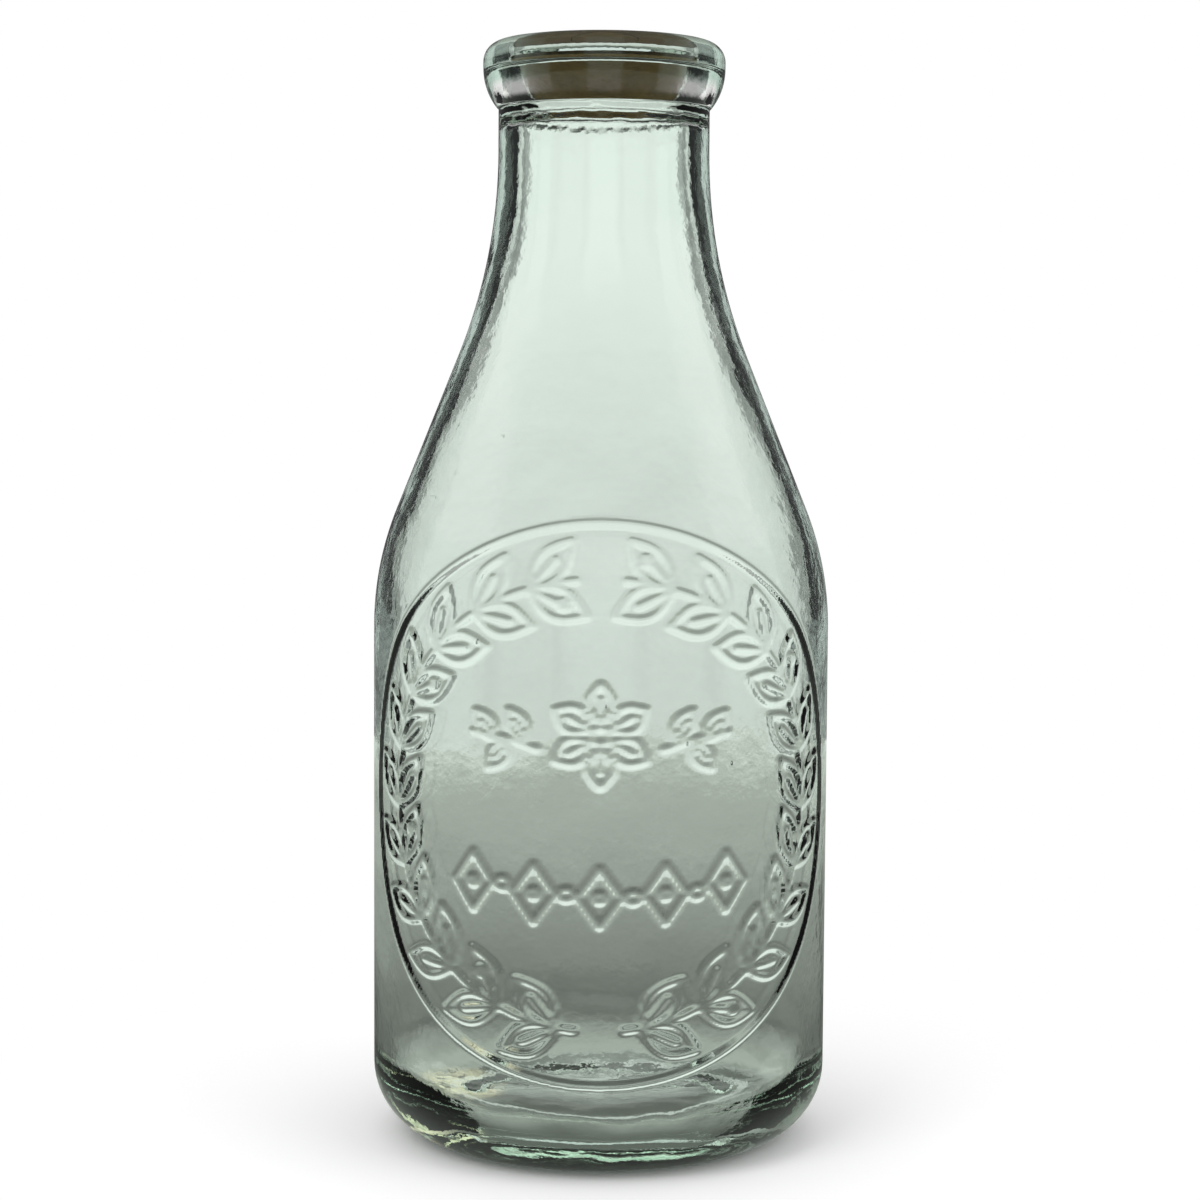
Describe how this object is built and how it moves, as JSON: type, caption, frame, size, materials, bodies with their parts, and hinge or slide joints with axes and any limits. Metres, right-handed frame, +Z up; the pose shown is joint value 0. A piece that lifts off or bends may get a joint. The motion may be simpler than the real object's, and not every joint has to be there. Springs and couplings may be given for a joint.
{
  "type": "glass milk bottle",
  "caption": "Clear glass milk bottle with sloping shoulder, rounded lip and raised plate ring, closed by a cardboard disc with a fold-up lift tab.",
  "frame": {"origin": "middle of the standing ring under the base", "axes": "+Z up along the bottle's axis, -Y towards the front with the plate ring"},
  "size_m": [0.102, 0.1027, 0.2443],
  "materials": {
    "bottle_glass": "glossy pale aqua glass",
    "wad_board": "waxed brown board"
  },
  "bodies": {
    "bottle": {"glass_bottle": "bottle_glass"},
    "wad": {"cardboard_wad": "wad_board"},
    "tab": {"lift_tab": "wad_board"}
  },
  "joints": [
    {"name": "wad_lift", "type": "slide", "parent": "bottle", "child": "wad", "axis": [0, 0, 1], "range_m": [0, 0.06]},
    {"name": "tab_fold", "type": "hinge", "parent": "wad", "child": "tab", "pos_m": [0, -0.0035, 0.24], "axis": [-1, 0, 0], "range_deg": [0, 100]}
  ]
}
